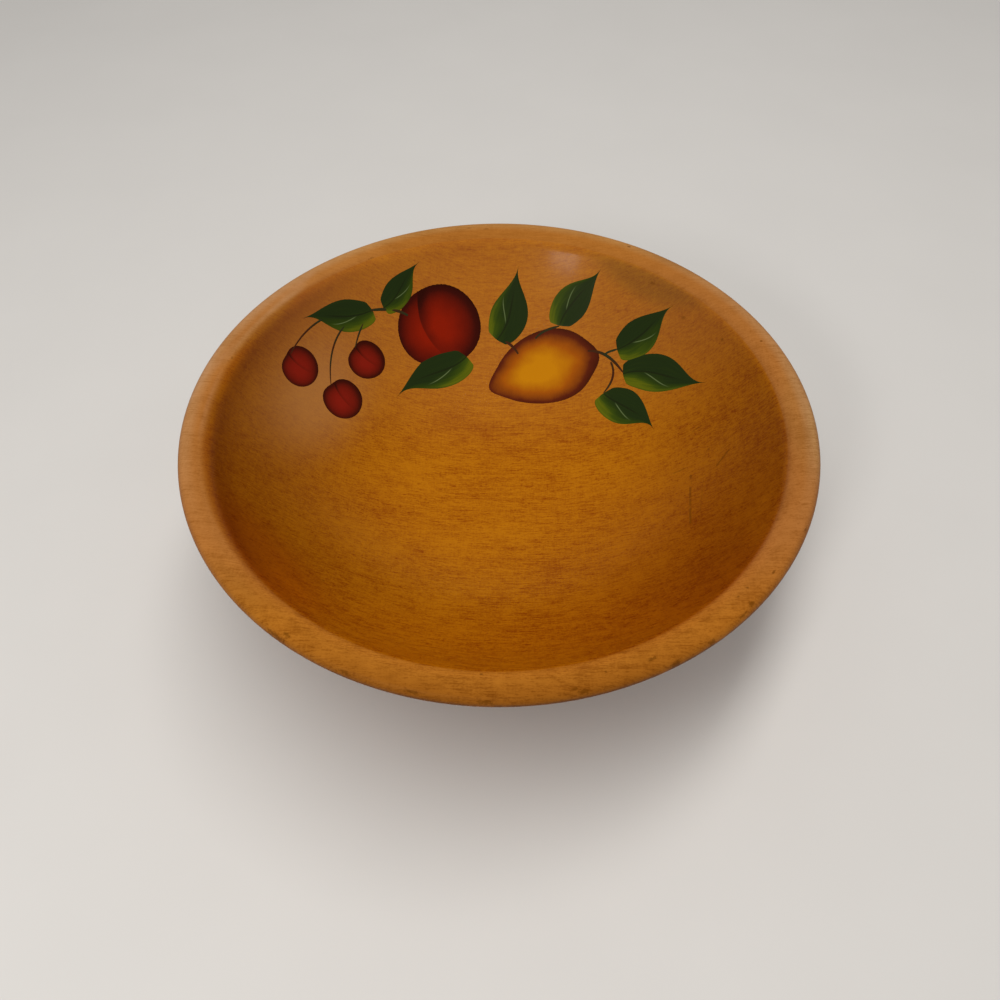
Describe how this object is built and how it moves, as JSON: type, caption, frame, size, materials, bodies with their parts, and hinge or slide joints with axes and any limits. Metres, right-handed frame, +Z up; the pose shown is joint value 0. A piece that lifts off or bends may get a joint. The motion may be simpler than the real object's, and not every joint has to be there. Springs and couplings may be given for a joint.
{
  "type": "footed wooden bowl",
  "caption": "Wide turned wooden bowl with a broad, softly crowned rim, standing on turned bun feet, for holding fruit or bread on a table.",
  "frame": {"origin": "on the table, under the middle of the bowl", "axes": "+Z up along the bowl's turning axis, -Y towards the front, +X to the right seen from the front"},
  "size_m": [0.33, 0.33, 0.111],
  "materials": {
    "bowl_wood": "satin varnish, honey amber",
    "foot_wood": "satin varnish, honey amber",
    "screw_steel": "dulled zinc"
  },
  "bodies": {
    "root": {"bowl": "bowl_wood", "foot_1": "foot_wood", "foot_2": "foot_wood", "foot_3": "foot_wood", "foot_screw_1": "screw_steel", "foot_screw_2": "screw_steel", "foot_screw_3": "screw_steel"}
  },
  "joints": []
}
